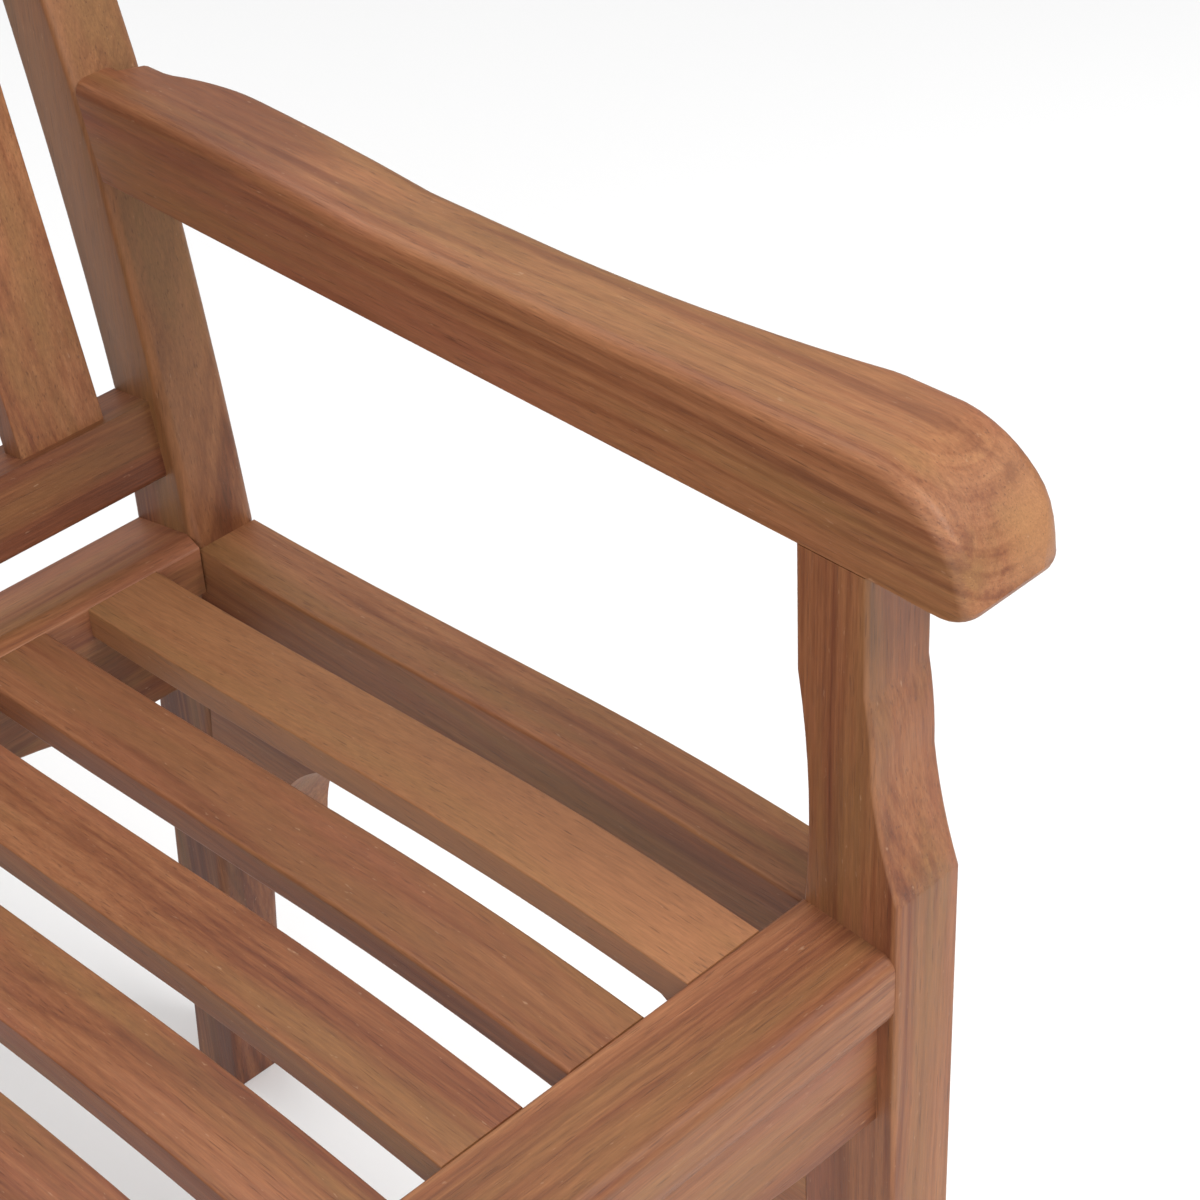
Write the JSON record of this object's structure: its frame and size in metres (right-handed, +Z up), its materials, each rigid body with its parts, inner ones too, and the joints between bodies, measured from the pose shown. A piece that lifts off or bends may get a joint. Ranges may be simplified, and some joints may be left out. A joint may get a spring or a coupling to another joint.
{
  "type": "garden bench",
  "caption": "Slatted teak garden bench with shaped armrests, a raked slat back and a dished seat of front-to-back slats.",
  "frame": {"origin": "on the floor, at the middle of the bounding box", "axes": "+Z up, +X along the bench to the right as seen from the front, the front faces -Y"},
  "size_m": [1.2, 0.64, 0.9],
  "materials": {
    "teak_frame": "sanded, unvarnished",
    "teak_slats": "sanded, unvarnished",
    "teak_arms": "sanded, unvarnished"
  },
  "bodies": {
    "root": {"armrest_left": "teak_arms", "armrest_right": "teak_arms", "back_slat_01": "teak_slats", "back_slat_02": "teak_slats", "back_slat_03": "teak_slats", "back_slat_04": "teak_slats", "back_slat_05": "teak_slats", "back_slat_06": "teak_slats", "back_slat_07": "teak_slats", "back_slat_08": "teak_slats", "back_slat_09": "teak_slats", "back_slat_10": "teak_slats", "back_slat_11": "teak_slats", "back_slat_12": "teak_slats", "back_slat_13": "teak_slats", "back_slat_14": "teak_slats", "back_slat_15": "teak_slats", "front_apron": "teak_frame", "front_leg_left": "teak_frame", "front_leg_right": "teak_frame", "front_rail": "teak_frame", "lower_back_rail": "teak_frame", "rear_apron": "teak_frame", "rear_leg_left": "teak_frame", "rear_leg_right": "teak_frame", "rear_rail": "teak_frame", "seat_slat_01": "teak_slats", "seat_slat_02": "teak_slats", "seat_slat_03": "teak_slats", "seat_slat_04": "teak_slats", "seat_slat_05": "teak_slats", "seat_slat_06": "teak_slats", "seat_slat_07": "teak_slats", "seat_slat_08": "teak_slats", "seat_slat_09": "teak_slats", "seat_slat_10": "teak_slats", "seat_slat_11": "teak_slats", "seat_slat_12": "teak_slats", "seat_slat_13": "teak_slats", "seat_slat_14": "teak_slats", "seat_slat_15": "teak_slats", "seat_slat_16": "teak_slats", "side_rail_left": "teak_frame", "side_rail_right": "teak_frame", "top_back_rail": "teak_frame"}
  },
  "joints": []
}
